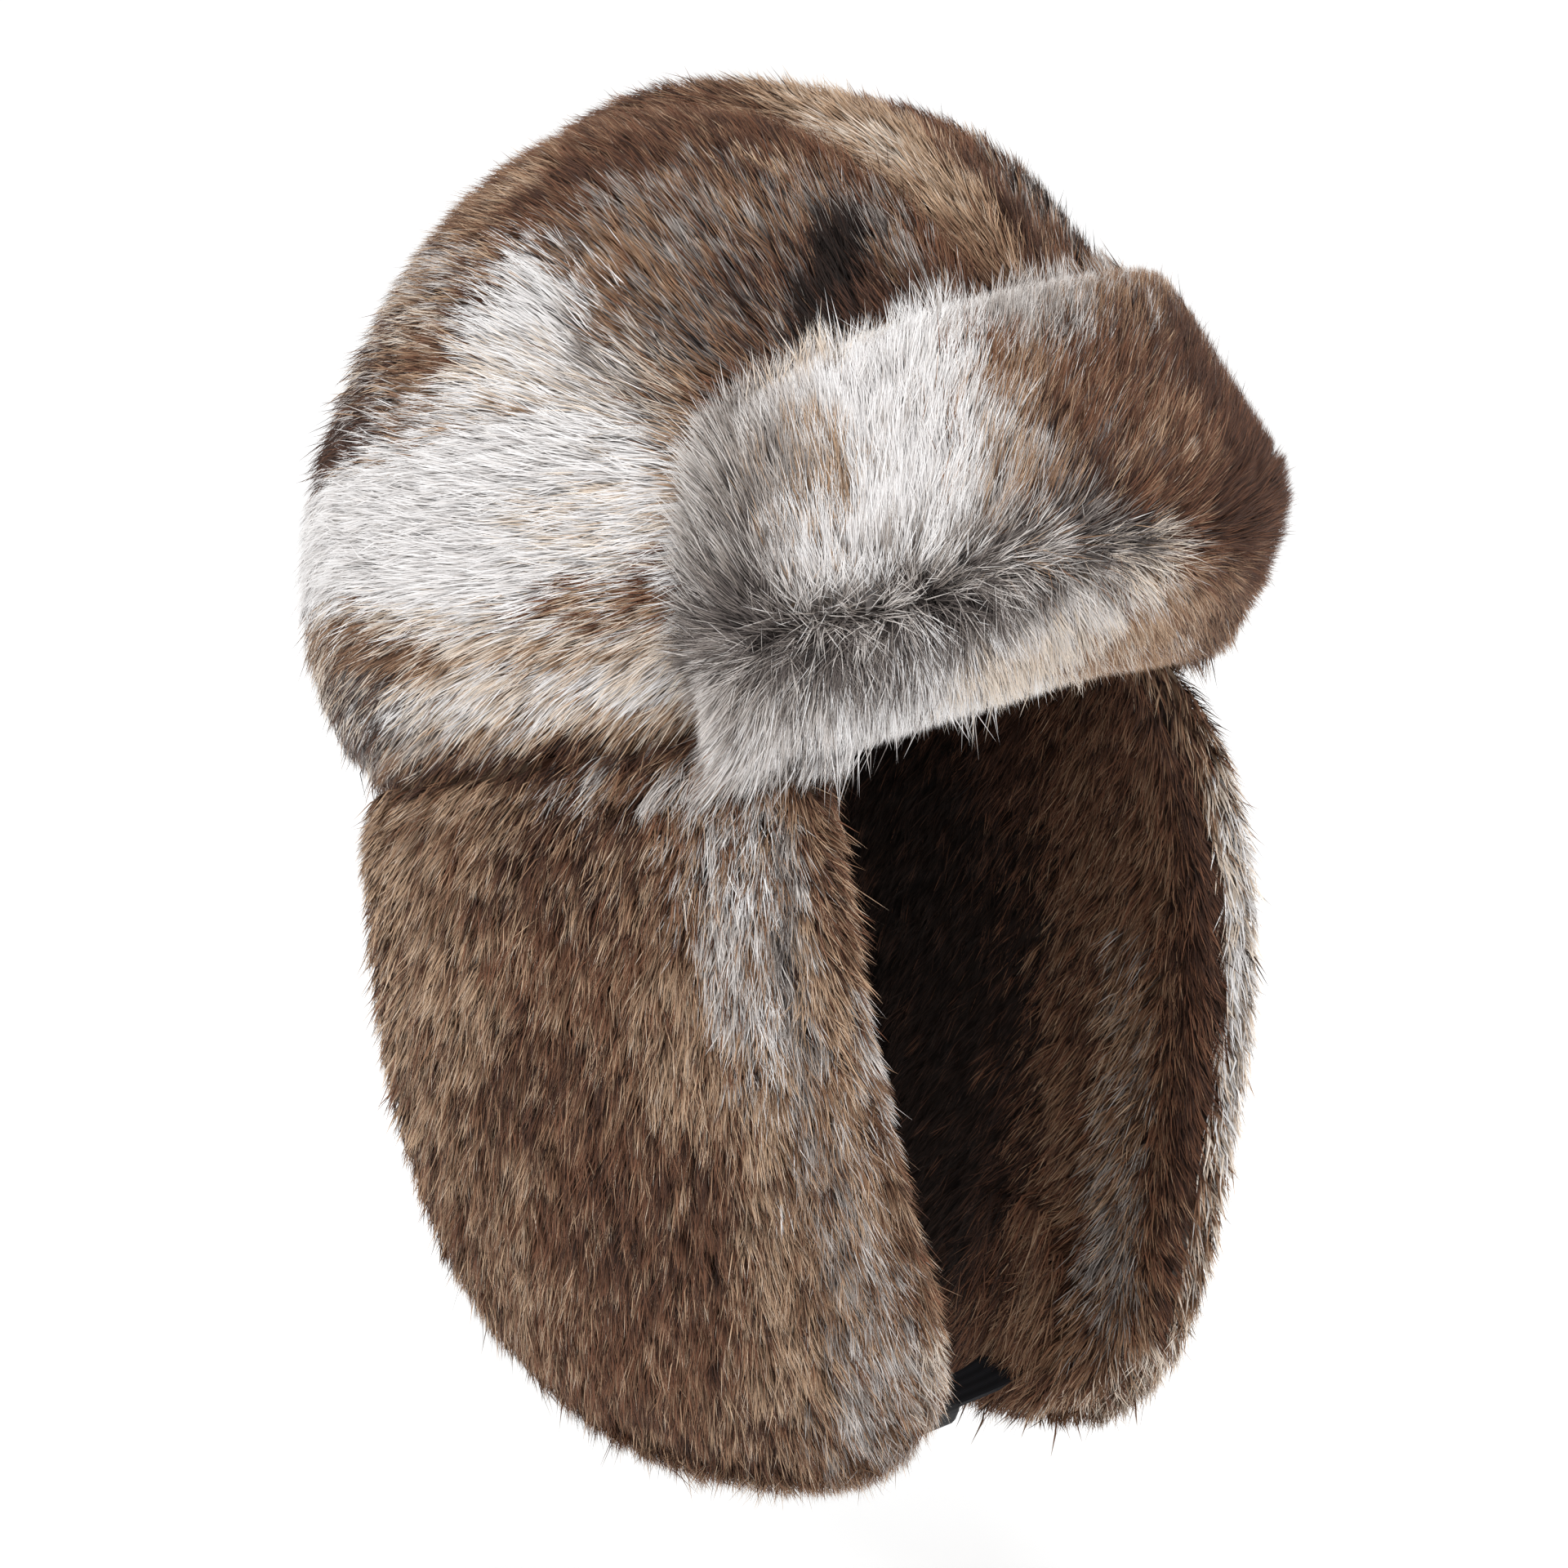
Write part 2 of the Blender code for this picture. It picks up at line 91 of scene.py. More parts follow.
# Soft oval patches of the coat, laid one over another, where they are seen in the picture:
# centre, half sizes, turn in degrees (clockwise), tone, how many of the locks take it, how light.
Patch = namedtuple("Patch", "x y rx ry turn tone share light")
SIDE_COAT = [
    Patch(860, 400, 900, 700, 0, "brown", 1.00, 0.00),
    Patch(860, 330, 700, 420, 0, "dark", 0.52, 0.00),
    Patch(860, 330, 600, 330, 0, "red", 0.46, -0.03),
    Patch(900, 350, 240, 120, -8, "grey", 0.32, -0.05),
    Patch(880, 340, 230, 120, -8, "slate", 0.30, 0.00),
    Patch(880, 340, 230, 120, -8, "brown", 0.26, 0.00),
    Patch(940, 420, 130, 70, 10, "slate", 0.30, 0.00),
    Patch(960, 380, 110, 80, 0, "dark", 0.36, 0.00),
    Patch(1120, 320, 100, 60, 25, "grey", 0.26, 0.00),
    Patch(700, 210, 260, 60, -28, "red", 0.55, 0.00),
    Patch(560, 300, 170, 34, -45, "brown", 0.55, 0.05),
    Patch(690, 236, 150, 20, -27, "dark", 0.75, 0.00),
    Patch(800, 160, 60, 13, -20, "tan", 0.65, 0.00),
    Patch(650, 225, 70, 12, -30, "tan", 0.60, 0.00),
    Patch(765, 250, 44, 18, -10, "grey", 0.45, 0.06),
    Patch(945, 208, 50, 9, 14, "tan", 0.55, 0.05),
    Patch(860, 150, 170, 40, -5, "red", 0.72, -0.05),
    Patch(870, 190, 140, 50, -5, "dark", 0.40, 0.00),
    Patch(1000, 170, 150, 34, 22, "red", 0.72, 0.00),
    Patch(965, 140, 45, 30, 30, "dark", 0.80, 0.00),
    Patch(1140, 235, 130, 24, 36, "dark", 0.78, 0.00),
    Patch(1190, 320, 70, 34, 50, "red", 0.60, 0.00),
    Patch(500, 400, 140, 90, -50, "dark", 0.42, 0.00),
    Patch(530, 380, 120, 80, -40, "tan", 0.46, 0.00),
    Patch(510, 350, 80, 60, -40, "pale", 0.34, 0.00),
    Patch(500, 460, 90, 90, 0, "cream", 0.40, 0.00),
    Patch(600, 810, 360, 112, -3, "cream", 0.92, 0.00),
    Patch(686, 445, 100, 134, -14, "white", 0.98, 0.00),
    Patch(640, 638, 345, 122, 0, "white", 1.00, 0.05),
    Patch(425, 640, 120, 92, 0, "white", 1.00, 0.04),
    Patch(610, 535, 150, 90, -14, "white", 0.98, 0.03),
    Patch(765, 470, 60, 96, -34, "pale", 0.50, 0.00),
    Patch(812, 460, 50, 100, -38, "grey", 0.46, 0.00),
    Patch(850, 430, 60, 70, -30, "brown", 0.70, 0.00),
    Patch(850, 430, 60, 70, -30, "slate", 0.30, 0.00),
    Patch(780, 350, 60, 60, 0, "brown", 0.62, 0.00),
    Patch(735, 415, 66, 9, 48, "grey", 0.40, 0.04),
    Patch(762, 548, 46, 12, -8, "grey", 0.42, 0.08),
    Patch(800, 500, 60, 60, 0, "cream", 0.50, -0.08),
    Patch(640, 480, 90, 60, 0, "cream", 0.26, 0.02),
    Patch(760, 640, 120, 70, 0, "cream", 0.30, 0.04),
    Patch(856, 560, 26, 90, 0, "tan", 0.55, 0.00),
    Patch(395, 515, 60, 46, 20, "dark", 0.92, 0.00),
    Patch(440, 450, 66, 90, 14, "dark", 0.52, 0.00),
    Patch(522, 455, 50, 86, 14, "brown", 0.46, 0.05),
    Patch(545, 430, 34, 40, 0, "red", 0.55, 0.00),
    Patch(470, 490, 60, 40, 0, "pale", 0.30, 0.00),
    Patch(500, 552, 80, 22, -10, "tan", 0.16, 0.00),
    Patch(650, 500, 60, 20, 0, "tan", 0.10, 0.00),
    Patch(690, 548, 130, 46, 0, "white", 0.72, 0.03),
    Patch(750, 736, 118, 27, -7, "red", 0.44, 0.06),
    Patch(760, 738, 100, 20, -7, "tan", 0.42, 0.02),
    Patch(832, 715, 26, 44, 0, "red", 0.62, 0.04),
    Patch(660, 845, 230, 36, -7, "white", 0.50, 0.00),
    Patch(640, 800, 210, 18, -6, "tan", 0.36, 0.00),
    Patch(450, 785, 90, 34, 14, "brown", 0.62, 0.00),
    Patch(540, 800, 70, 16, 0, "brown", 0.34, 0.05),
    Patch(700, 885, 190, 22, -9, "tan", 0.45, 0.00),
    Patch(425, 850, 66, 70, 10, "dark", 0.60, 0.04),
    Patch(440, 870, 70, 60, 10, "slate", 0.42, 0.08),
    Patch(520, 905, 120, 26, -8, "grey", 0.42, 0.05),
    # Painted shade: the next two patches darken the shadowed pit where the front flap's top edge meets the crown.
    Patch(1040, 362, 44, 88, 14, "black", 0.99, -0.14),
    Patch(1090, 380, 50, 34, -20, "dark", 0.84, -0.10),
    Patch(650, 925, 250, 16, -9, "dark", 0.75, 0.00),
]
# The centre panel carries the side panels' markings on over the back, and its own in front.
CENTRE_COAT = [row for row in SIDE_COAT if row.x < 740 or row.rx > 320] + [
    Patch(840, 120, 200, 60, 0, "red", 0.60, 0.00),
    Patch(1200, 150, 400, 260, 0, "brown", 0.85, 0.00),
    Patch(1200, 150, 400, 260, 0, "dark", 0.40, 0.00),
    Patch(1080, 170, 150, 50, 30, "tan", 0.96, 0.04),
    Patch(1100, 190, 90, 14, 34, "cream", 0.60, 0.00),
    Patch(1200, 260, 110, 24, 50, "tan", 0.85, 0.00),
    Patch(1240, 320, 60, 22, 55, "brown", 0.60, 0.06),
    Patch(1200, 195, 90, 26, 40, "red", 0.66, 0.00),
    Patch(1290, 270, 90, 30, 52, "red", 0.85, 0.00),
    Patch(1262, 300, 16, 80, -28, "dark", 0.80, 0.00),
]
BRIM_COAT = [
    Patch(1200, 640, 600, 500, 0, "pale", 1.00, 0.00),
    Patch(1230, 560, 130, 120, 0, "brown", 0.34, 0.02),
    Patch(1290, 620, 110, 80, 0, "grey", 0.32, 0.03),
    Patch(1290, 600, 110, 90, 0, "tan", 0.30, 0.00),
    Patch(1300, 420, 130, 60, 0, "grey", 0.40, 0.05),
    Patch(1400, 400, 80, 50, 20, "brown", 0.55, 0.00),
    Patch(1420, 580, 150, 190, 0, "brown", 0.90, 0.00),
    Patch(1430, 570, 150, 170, 0, "dark", 0.86, -0.03),
    Patch(1400, 560, 140, 140, 0, "slate", 0.12, 0.00),
    Patch(1400, 580, 100, 110, 0, "tan", 0.10, 0.00),
    Patch(1350, 500, 80, 60, 0, "red", 0.45, 0.00),
    Patch(1450, 620, 80, 120, 0, "red", 0.40, 0.00),
    Patch(1545, 640, 70, 170, 0, "red", 0.70, 0.00),
    Patch(1550, 620, 70, 170, 0, "dark", 0.96, -0.03),
    Patch(1468, 480, 26, 74, -14, "dark", 0.90, 0.00),
    Patch(1202, 468, 46, 28, 0, "red", 0.86, 0.04),
    Patch(1235, 500, 70, 40, 0, "brown", 0.50, 0.00),
    Patch(1080, 560, 110, 175, 6, "white", 0.92, 0.00),
    Patch(1150, 600, 40, 120, 0, "white", 0.60, 0.00),
    Patch(960, 465, 100, 34, -24, "cream", 0.70, 0.00),
    Patch(1100, 400, 70, 34, -10, "white", 0.90, 0.00),
    Patch(930, 530, 70, 60, -20, "pale", 0.70, 0.00),
    Patch(905, 560, 60, 80, 0, "grey", 0.30, 0.05),
    Patch(985, 640, 66, 84, 16, "tan", 0.82, -0.03),
    Patch(960, 650, 70, 84, 16, "grey", 0.34, 0.05),
    Patch(930, 600, 50, 70, 10, "grey", 0.35, 0.05),
    Patch(1030, 700, 90, 60, 0, "white", 0.50, 0.00),
    Patch(872, 640, 26, 150, 0, "pale", 0.60, 0.00),
    Patch(898, 690, 42, 110, 0, "grey", 0.74, 0.00),
    Patch(905, 700, 34, 90, 0, "slate", 0.30, 0.00),
    Patch(900, 760, 60, 50, 0, "slate", 0.48, 0.00),
    Patch(950, 790, 125, 36, -3, "slate", 0.84, -0.06),
    Patch(1120, 757, 125, 34, -12, "slate", 0.88, -0.06),
    Patch(1255, 695, 105, 40, -20, "slate", 0.84, -0.06),
    Patch(1355, 668, 55, 28, 0, "slate", 0.70, -0.06),
    Patch(1130, 700, 120, 40, -18, "grey", 0.28, 0.00),
    Patch(1395, 690, 50, 30, 0, "cream", 0.60, 0.00),
    Patch(1100, 850, 210, 62, -14, "white", 0.80, 0.00),
    Patch(1180, 745, 230, 60, -14, "pale", 0.15, 0.16),
    Patch(930, 870, 80, 60, 0, "pale", 0.60, 0.00),
    Patch(890, 850, 50, 50, 0, "grey", 0.40, 0.00),
    Patch(1110, 806, 160, 26, -12, "slate", 0.40, 0.00),
    Patch(1110, 850, 210, 62, -14, "slate", 0.15, 0.00),
    Patch(1290, 790, 120, 52, -20, "cream", 0.72, 0.00),
    Patch(1340, 730, 90, 30, -12, "pale", 0.45, 0.00),
    Patch(1440, 770, 110, 60, -20, "brown", 0.85, 0.00),
    Patch(1420, 740, 60, 40, -20, "tan", 0.45, 0.00),
    Patch(1500, 770, 60, 60, -20, "dark", 0.45, 0.00),
]
FLAP_COAT = [
    Patch(780, 1350, 900, 900, 0, "brown", 1.00, 0.00),
    Patch(780, 1350, 500, 600, 0, "red", 0.40, 0.00),
    Patch(780, 1350, 500, 600, 0, "dark", 0.30, -0.02),
    Patch(780, 1350, 500, 600, 0, "tan", 0.25, 0.03),
    Patch(705, 1040, 90, 100, 0, "dark", 0.60, 0.00),
    Patch(690, 1170, 100, 70, 0, "red", 0.55, 0.00),
    Patch(660, 1310, 90, 90, 0, "dark", 0.42, 0.00),
    Patch(770, 1540, 150, 170, 20, "red", 0.50, 0.00),
    Patch(800, 1480, 110, 110, 0, "dark", 0.34, 0.00),
    Patch(870, 1760, 110, 70, 0, "dark", 0.34, 0.00),
    Patch(495, 1230, 64, 230, 0, "tan", 0.50, 0.00),
    Patch(580, 1190, 70, 60, 0, "tan", 0.36, 0.00),
    Patch(470, 1000, 40, 100, 0, "tan", 0.42, 0.00),
    Patch(620, 1600, 90, 90, 40, "tan", 0.34, 0.00),
    Patch(560, 960, 110, 30, -5, "tan", 0.45, 0.00),
    Patch(780, 940, 110, 26, -8, "pale", 0.30, 0.00),
    Patch(650, 915, 250, 16, -9, "dark", 0.80, 0.00),
    Patch(850, 1240, 60, 110, 0, "tan", 0.40, 0.00),
    Patch(915, 1110, 72, 200, -6, "pale", 0.62, 0.00),
    Patch(905, 1030, 40, 90, 0, "white", 0.30, 0.00),
    Patch(950, 1240, 44, 190, -5, "white", 0.26, 0.00),
    Patch(930, 1110, 60, 200, -4, "brown", 0.30, 0.00),
    Patch(1050, 1290, 40, 90, -10, "pale", 0.45, 0.00),
    Patch(965, 1180, 30, 200, -6, "grey", 0.60, 0.00),
    Patch(958, 1120, 18, 120, -6, "slate", 0.60, 0.00),
    Patch(1010, 1240, 30, 160, -6, "tan", 0.60, 0.00),
    Patch(985, 1500, 90, 240, -8, "tan", 0.52, 0.00),
    Patch(1000, 1480, 30, 220, -9, "grey", 0.45, 0.00),
    Patch(1045, 1470, 30, 180, -8, "pale", 0.28, 0.00),
    Patch(1030, 1500, 80, 240, -8, "brown", 0.34, 0.00),
    Patch(1060, 1600, 60, 110, -8, "grey", 0.30, 0.00),
    Patch(1090, 1690, 74, 84, 0, "pale", 0.42, 0.00),
    Patch(1040, 1740, 60, 60, 0, "grey", 0.30, 0.00),
    Patch(1080, 1650, 80, 110, 0, "brown", 0.22, 0.00),
    Patch(940, 1620, 40, 90, 0, "tan", 0.26, 0.00),
    Patch(1130, 1680, 34, 60, 0, "cream", 0.50, 0.00),
]
# The wearer's left flap is paler along its front edge, where it is seen past the lining.
LEFT_EDGE = [
    Patch(1512, 1215, 66, 340, 0, "cream", 0.94, 0.06),
    Patch(1520, 1200, 46, 260, 0, "white", 0.55, 0.08),
    Patch(1486, 1250, 12, 300, 0, "brown", 0.34, 0.00),
    Patch(1470, 1560, 60, 140, 10, "brown", 0.36, 0.04),
    Patch(1420, 1670, 90, 60, -34, "cream", 0.62, 0.06),
]
LINING_COAT = [
    Patch(1250, 1300, 900, 900, 0, "dark", 1.00, 0.08),
    Patch(1350, 1250, 120, 460, 0, "red", 0.66, 0.13),
    Patch(1310, 1400, 90, 300, 0, "dark", 0.42, 0.08),
    Patch(1330, 1250, 74, 400, 0, "brown", 0.42, 0.04),
    Patch(1372, 1380, 30, 230, 3, "grey", 0.52, 0.04),
    Patch(1372, 1380, 34, 230, 3, "tan", 0.26, 0.00),
    Patch(1350, 1560, 40, 120, 6, "grey", 0.42, 0.00),
    Patch(1365, 1300, 20, 120, 3, "tan", 0.30, 0.00),
    Patch(1100, 1200, 130, 420, -8, "black", 0.92, 0.00),
    Patch(1190, 1100, 90, 200, -8, "black", 0.60, 0.00),
    Patch(1400, 1250, 40, 380, 0, "brown", 0.40, 0.04),
    Patch(1440, 1250, 12, 380, 0, "dark", 0.70, 0.00),
    Patch(1300, 1640, 110, 76, -20, "brown", 0.62, 0.12),
    Patch(1340, 1725, 110, 34, -20, "tan", 0.66, 0.08),
    Patch(1385, 1685, 90, 34, -32, "cream", 0.52, 0.06),
    Patch(1320, 1738, 90, 24, -8, "cream", 0.46, 0.06),
    Patch(1345, 1700, 50, 16, -20, "red", 0.50, 0.05),
    Patch(1300, 1690, 80, 30, -10, "red", 0.40, 0.05),
    Patch(1200, 1620, 70, 100, 0, "red", 0.50, 0.08),
]


# ---------------------------------------------------------------- small helpers
def ease(x):
    x = np.clip(x, 0.0, 1.0)
    return x * x * (3 - 2 * x)


def unit(v):
    return v / np.maximum(np.linalg.norm(v, axis=-1, keepdims=True), 1e-9)


def waves(p, size, seed):
    """A smooth value from about -1 to 1 that wanders over lengths of about size metres."""
    own = np.random.default_rng(seed)
    total = np.zeros(len(p))
    for _ in range(7):
        way = own.normal(size=3)
        way /= np.linalg.norm(way)
        total += np.sin(p @ way * (2 * math.pi / (size * own.uniform(0.7, 1.6))) + own.uniform(0, 6.3))
    return total / 3.2


def coat_tone(patches, p, locks, mirrored, tone=None, light=None):
    """Which tone each hair at p has, and how light it is: each lock, and some of each lock's hairs, draws its own."""
    q = p.copy()
    if mirrored == "right":
        q[:, 0] = -np.abs(q[:, 0])
    elif mirrored == "left":
        q[:, 0] = np.abs(q[:, 0])
    x, y = seen_at(q)
    x = x + 11 * waves(q, 0.030, 3) + 5 * waves(q, 0.010, 4)
    y = y + 11 * waves(q, 0.030, 5) + 5 * waves(q, 0.010, 6)
    tone = np.full(len(p), 0.38) if tone is None else tone
    light = np.zeros(len(p)) if light is None else light
    own = rng.random(len(p))
    for k, patch in enumerate(patches):
        turn = math.radians(patch.turn)
        dx, dy = x - patch.x, y - patch.y
        a = (dx * math.cos(turn) + dy * math.sin(turn)) / patch.rx
        b = (-dx * math.sin(turn) + dy * math.cos(turn)) / patch.ry
        far = np.sqrt(a * a + b * b)
        cover = patch.share * (1 - ease((far - 0.62) / 0.76))
        draw = (locks * (37.7 + 11.3 * k) + 0.137 * k) % 1.0
        draw = np.where(own < 0.55, draw, (own * 91.7 + 0.731 * k) % 1.0)
        take = draw < cover
        tone = np.where(take, TONES[patch.tone][0], tone)
        light = np.where(take, patch.light, light)
    return tone, light


# ---------------------------------------------------------------- the CAD forms as arrays
class Form:
    """A CAD node's surface: merged points, triangles, and which of them carry pile."""

    def __init__(self, name):
        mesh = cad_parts[name].data
        raw = np.empty(len(mesh.vertices) * 3)
        mesh.vertices.foreach_get("co", raw)
        raw = raw.reshape(-1, 3)
        mesh.calc_loop_triangles()
        tri = np.empty(len(mesh.loop_triangles) * 3, dtype=np.int64)
        mesh.loop_triangles.foreach_get("vertices", tri)
        _, first, back = np.unique(np.round(raw, 6), axis=0, return_index=True, return_inverse=True)
        self.points = raw[first]
        self.tri = back.reshape(-1)[tri].reshape(-1, 3)
        a, b, c = (self.points[self.tri[:, k]] for k in range(3))
        cross = np.cross(b - a, c - a)
        self.area = np.linalg.norm(cross, axis=1) / 2
        keep = self.area > 1e-12
        self.tri, self.area, cross = self.tri[keep], self.area[keep], cross[keep]
        self.normal = unit(cross)
        self.middle = self.points[self.tri].mean(1)
        self.name = name

    def choose(self, furry):
        """Sets which triangles carry pile, and the smooth directions of it at the points."""
        self.furry = furry
        total = np.zeros_like(self.points)
        for k in range(3):
            np.add.at(total, self.tri[furry, k], self.normal[furry] * self.area[furry, None])
        self.used = np.linalg.norm(total, axis=1) > 1e-12
        self.smooth = unit(total)
        rest = ~self.used
        self.own = np.where(rest)[0]
        tree = kdtree.KDTree(max(1, int(rest.sum())))
        for i in self.own:
            tree.insert(self.points[i], int(i))
        tree.balance()
        self.room = np.full(len(self.points), 0.02)
        for i in np.where(self.used)[0]:
            self.room[i] = tree.find(self.points[i])[2]
        return self


RIM_MIDDLE = np.array((0.0, -0.005, -0.135))
forms = {n: Form(n) for n in (
    "crown_side_right", "crown_centre", "crown_side_left", "front_flap", "flap_curtain", "flap_lining"
)}
for n in ("crown_side_right", "crown_centre", "crown_side_left"):
    f = forms[n]
    f.choose(np.einsum("ij,ij->i", f.normal, unit(f.middle - RIM_MIDDLE)) > 0.35)
f = forms["front_flap"]
f.choose(np.einsum("ij,ij->i", f.normal, unit(f.middle - RIM_MIDDLE)) > -0.25)
for n, other in (("flap_curtain", "flap_lining"), ("flap_lining", "flap_curtain")):
    f = forms[n]
    tree = kdtree.KDTree(len(forms[other].points))
    for i, p in enumerate(forms[other].points):
        tree.insert(p, i)
    tree.balance()
    close = np.array([tree.find(p)[2] < 0.0016 for p in f.points])
    f.choose(~close[f.tri].all(1) & (f.normal[:, 2] < 0.75))


# every form together, to keep hair tips within a few millimetres of the outer form
every_point, every_tri, start = [], [], 0
for f in forms.values():
    every_point += f.points.tolist()
    every_tri += (f.tri + start).tolist()
    start += len(f.points)
outer_form = BVHTree.FromPolygons(every_point, every_tri)


def kept_close(tip, limit):
    """How far each hair has to move so that its tip stays within its limit of the outer form."""
    moved = np.zeros_like(tip)
    for i, (t, reach) in enumerate(zip(tip.tolist(), limit.tolist())):
        at, normal, _, far = outer_form.find_nearest(t)
        if far > reach and (Vector(t) - at).dot(normal) > 0:
            moved[i] = (at - Vector(t)) * (1 - reach / far)
    return moved


# ---------------------------------------------------------------- materials
def ramp(tree, stops):
    node = tree.nodes.new("ShaderNodeValToRGB")
    band = node.color_ramp
    while len(band.elements) < len(stops):
        band.elements.new(0.5)
    for element, (place, rgb) in zip(band.elements, stops):
        element.position = place
        element.color = (*rgb, 1)
    return node


def coat_material(name):
    """Reads the tone across the coat map and, up it, the lightness from root to tip: darker at the root, partly the
    hairs' own darker roots and partly painted shade deep in the pile.
    """
    m = bpy.data.materials.new(name)
    m.use_nodes = True
    t = m.node_tree
    shader = t.nodes["Principled BSDF"]
    place = t.nodes.new("ShaderNodeUVMap")
    place.uv_map = "coat"
    split = t.nodes.new("ShaderNodeSeparateXYZ")
    t.links.new(place.outputs[0], split.inputs[0])
    tones = ramp(t, [v for v in TONES.values()])
    light = ramp(t, [
        (0.0, (0.13, 0.12, 0.12)),
        (0.30, (0.36, 0.345, 0.34)),
        (0.62, (0.68, 0.67, 0.665)),
        (0.85, (0.93, 0.925, 0.92)),
        (1.0, (1.0, 1.0, 1.0)),
    ])
    t.links.new(split.outputs[0], tones.inputs[0])
    t.links.new(split.outputs[1], light.inputs[0])
    mix = t.nodes.new("ShaderNodeMix")
    mix.data_type = "RGBA"
    mix.blend_type = "MULTIPLY"
    mix.inputs["Factor"].default_value = 1.0
    t.links.new(tones.outputs[0], mix.inputs["A"])
    t.links.new(light.outputs[0], mix.inputs["B"])
    t.links.new(mix.outputs["Result"], shader.inputs["Base Color"])
    shader.inputs["Roughness"].default_value = 0.60
    shader.inputs["Specular IOR Level"].default_value = 0.14
    return m


def cloth_material(name, rgb):
    m = bpy.data.materials.new(name)
    m.use_nodes = True
    shader = m.node_tree.nodes["Principled BSDF"]
    shader.inputs["Base Color"].default_value = (*rgb, 1)
    shader.inputs["Roughness"].default_value = 0.9
    shader.inputs["Specular IOR Level"].default_value = 0.2
    return m


coat = coat_material("fur_coat")
cloth = cloth_material("backing_cloth", (0.050, 0.032, 0.026))


WHOLE_MAP = np.array([[(0, 0), (1, 0), (1, 1)], [(0, 0), (1, 1), (0, 1)]], dtype=float)


def set_maps(mesh, uv):
    for map_name in ("OFBake", "coat"):
        layer = mesh.uv_layers.new(name=map_name)
        layer.data.foreach_set("uv", uv.astype(np.float32).ravel())


def new_mesh(name, points, tri, smooth=True):
    mesh = bpy.data.meshes.new(name)
    mesh.vertices.add(len(points))
    mesh.vertices.foreach_set("co", points.astype(np.float32).ravel())
    mesh.loops.add(len(tri) * 3)
    mesh.loops.foreach_set("vertex_index", tri.astype(np.int32).ravel())
    mesh.polygons.add(len(tri))
    mesh.polygons.foreach_set("loop_start", np.arange(0, len(tri) * 3, 3, dtype=np.int32))
    mesh.polygons.foreach_set("use_smooth", np.full(len(tri), smooth))
    mesh.update(calc_edges=True)
    ob = bpy.data.objects.new(name, mesh)
    bpy.context.scene.collection.objects.link(ob)
    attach(ob, "root")
    return ob


# ---------------------------------------------------------------- the backing under the pile, a closed wall
form_trees = {name: BVHTree.FromPolygons(f.points.tolist(), f.tri.tolist()) for name, f in forms.items()}


def to_seams(form):
    """How far each point moves so that sewn neighbours meet half way, and no light shows between them."""
    move = np.zeros_like(form.points)
    others = [tree for name, tree in form_trees.items() if forms[name] is not form]
    for i, v in enumerate(form.points.tolist()):
        found = [tree.find_nearest(v, 0.0015) for tree in others]
        found = [(far, at) for at, _, _, far in found if at is not None]
        if found:
            move[i] = (np.array(min(found, key=lambda f: f[0])[1]) - v) * 0.53
    return move


def backing(name, form, depth, patches, mirrored):
    sunk = np.minimum(depth, form.room * 0.55)
    points = form.points - form.smooth * np.where(form.used, sunk, 0.0)[:, None] + to_seams(form)
    tri, furry = form.tri, form.furry
    # every triangle is cut in four so that the markings show on it
    ends = np.sort(np.concatenate([tri[:, (0, 1)], tri[:, (1, 2)], tri[:, (2, 0)]]), axis=1)
    edges, back = np.unique(ends, axis=0, return_inverse=True)
    back = back.reshape(-1)
    mids = points[edges].mean(1)
    m = back.reshape(3, -1) + len(points)
    a, b, c = tri.T
    tri = np.concatenate([
        np.stack([a, m[0], m[2]], 1),
        np.stack([m[0], b, m[1]], 1),
        np.stack([m[2], m[1], c], 1),
        np.stack([m[0], m[1], m[2]], 1),
    ])
    furry = np.tile(furry, 4)
    points = np.concatenate([points, mids])
    ob = new_mesh(name, points, tri)
    middle = points[tri].mean(1)
    tone, _ = coat_tone(patches, middle, rng.random(len(tri)), mirrored)
    # each furry face takes a small spot of the map low on its light, so that the backing shows its fur tone darkened
    # like the pile's roots, partly their own colour and partly painted shade deep in the pile; the inner ones, of plain
    # cloth, take its first corner
    spot = np.array([(-0.003, -0.003), (0.003, -0.003), (0.0, 0.004)])
    uv = np.stack([np.clip(tone, 0.004, 0.996), np.full(len(tri), 0.22)], 1)[:, None] + spot
    uv[~furry] = 0.004
    uv = uv.reshape(-1, 2)
    # two of the smallest triangles, deep in the pile, span the whole map, so that a bake holds every tone
    own = np.where(furry, np.linalg.norm(np.cross(points[tri[:, 1]] - points[tri[:, 0]],
                                                  points[tri[:, 2]] - points[tri[:, 0]]), axis=1), 1.0)
    one, two = np.argsort(own)[:2]
    uv.reshape(-1, 3, 2)[one] = WHOLE_MAP[0]
    uv.reshape(-1, 3, 2)[two] = WHOLE_MAP[1]
    set_maps(ob.data, uv)
    ob.data.materials.append(coat)
    ob.data.materials.append(cloth)
    ob.data.polygons.foreach_set("material_index", np.where(furry, 0, 1).astype(np.int32))
    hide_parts(form.name)
    return ob


